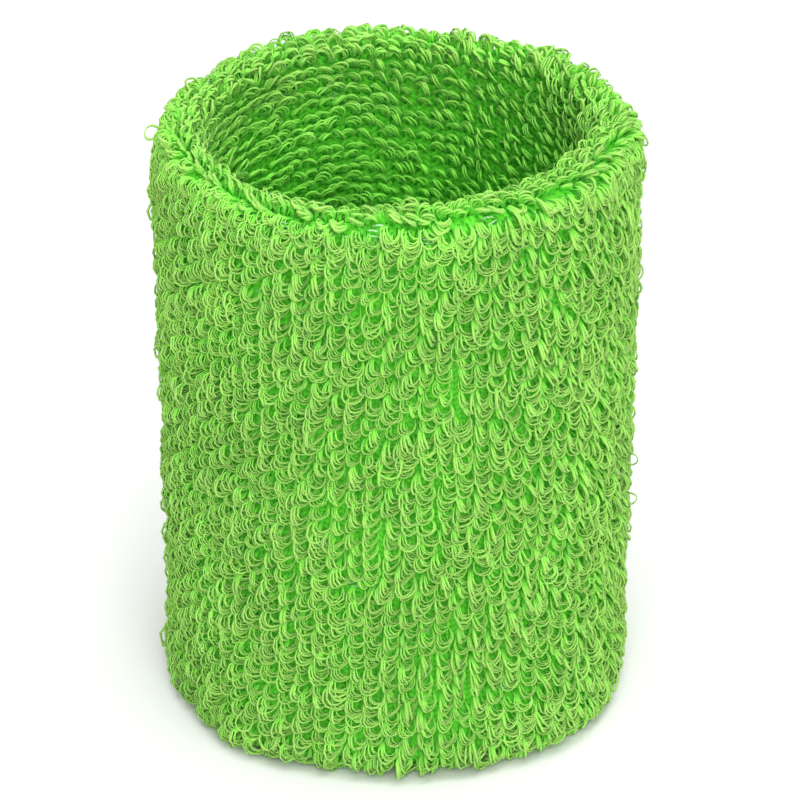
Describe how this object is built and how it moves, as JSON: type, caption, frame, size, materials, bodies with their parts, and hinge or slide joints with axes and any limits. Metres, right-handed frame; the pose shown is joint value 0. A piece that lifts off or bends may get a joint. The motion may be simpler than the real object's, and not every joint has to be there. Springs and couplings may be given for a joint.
{
  "type": "sweat wristband",
  "caption": "Soft terry sweatband for the wrist: a short double-walled knitted tube with loop pile inside and out, rounded folded rims and hidden elastic.",
  "frame": {"origin": "on the axis of the bore, at the level of the bottom rim that the band stands on", "axes": "+Z along the bore, up from the bottom rim to the top one; the band is round, so X and Y are any two directions square to it"},
  "size_m": [0.063, 0.063, 0.08],
  "materials": {
    "terry_loops": "matt cotton loop pile, bright lime green",
    "knitted_ground": "matt knitted ground, green with pale yarn",
    "elastic": "covered rubber thread, off-white",
    "sewing_thread": "spun polyester thread, green"
  },
  "bodies": {
    "root": {"outer_pile": "terry_loops", "inner_pile": "terry_loops", "top_fold_pile": "terry_loops", "bottom_fold_pile": "terry_loops", "ground_cloth": "knitted_ground", "outer_elastic_threads": "elastic", "inner_elastic_threads": "elastic", "closing_seam_thread": "sewing_thread"}
  },
  "joints": []
}
